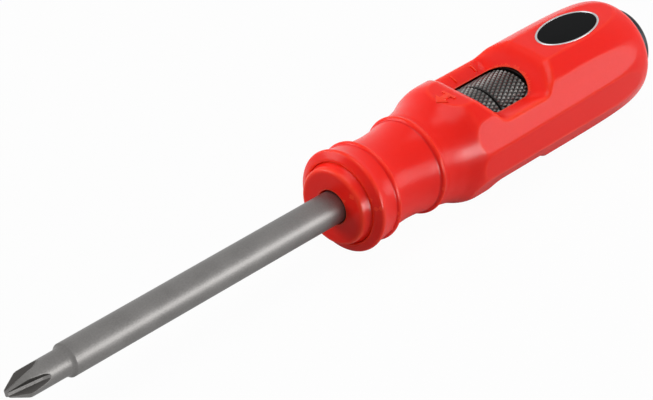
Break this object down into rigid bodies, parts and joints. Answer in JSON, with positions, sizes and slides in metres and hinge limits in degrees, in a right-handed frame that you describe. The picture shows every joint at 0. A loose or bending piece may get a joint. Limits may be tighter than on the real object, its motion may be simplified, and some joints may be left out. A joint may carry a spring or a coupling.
{
  "type": "impact screwdriver",
  "caption": "Hand impact screwdriver with a cross-point blade, a faceted moulded handle, a knurled selector ring in a thumb recess and a sprung striking cap at the rear.",
  "frame": {"origin": "centre of the tool's box, on the plane of the lower flat that it lies on", "axes": "+X along the tool from the tip to the striking cap, +Z out of the flat that carries the badge"},
  "size_m": [0.2098, 0.0294, 0.0278],
  "materials": {
    "red_plastic": "satin moulded red",
    "blade_steel": "matte blasted grey",
    "dark_steel": "black oxide",
    "bright_steel": "ground bright",
    "bronze": "plain bearing bronze",
    "rubber": "black",
    "badge_silver": "bright",
    "badge_black": "glossy black"
  },
  "bodies": {
    "handle": {"handle_shell": "red_plastic", "nose_bush": "red_plastic", "shank_seal": "rubber", "front_bearing": "bronze", "thrust_washer": "bronze", "guide_sleeve": "bright_steel", "key_pin": "bright_steel", "detent_ball": "bright_steel", "detent_spring": "bright_steel", "retaining_ring": "dark_steel", "spring_seat": "bright_steel", "return_spring": "bright_steel", "badge_rim": "badge_silver", "badge_plate": "badge_black"},
    "blade": {"blade": "blade_steel", "blade_collar": "dark_steel", "collar_pin": "bright_steel", "cam_pin": "bright_steel"},
    "striker": {"striker_rod": "bright_steel", "striking_cap": "dark_steel", "cap_seal": "rubber"},
    "selector": {"selector_ring": "dark_steel"}
  },
  "joints": [
    {"name": "strike_slide", "type": "slide", "parent": "handle", "child": "striker", "axis": [-1, 0, 0], "range_m": [0, 0.004], "stiffness_N_per_m": 1500, "springref_m": -0.002, "deforming": ["return_spring"]},
    {"name": "blade_turn", "type": "hinge", "parent": "handle", "child": "blade", "pos_m": [0, 0, 0.0138], "axis": [1, 0, 0], "range_deg": [0, 20]},
    {"name": "selector_turn", "type": "hinge", "parent": "handle", "child": "selector", "pos_m": [0.05365, 0, 0.0138], "axis": [1, 0, 0], "range_deg": [-12, 12]}
  ],
  "couplings": [
    {"joint": "blade_turn", "follows": "strike_slide", "rad_per_m": 87.2}
  ]
}
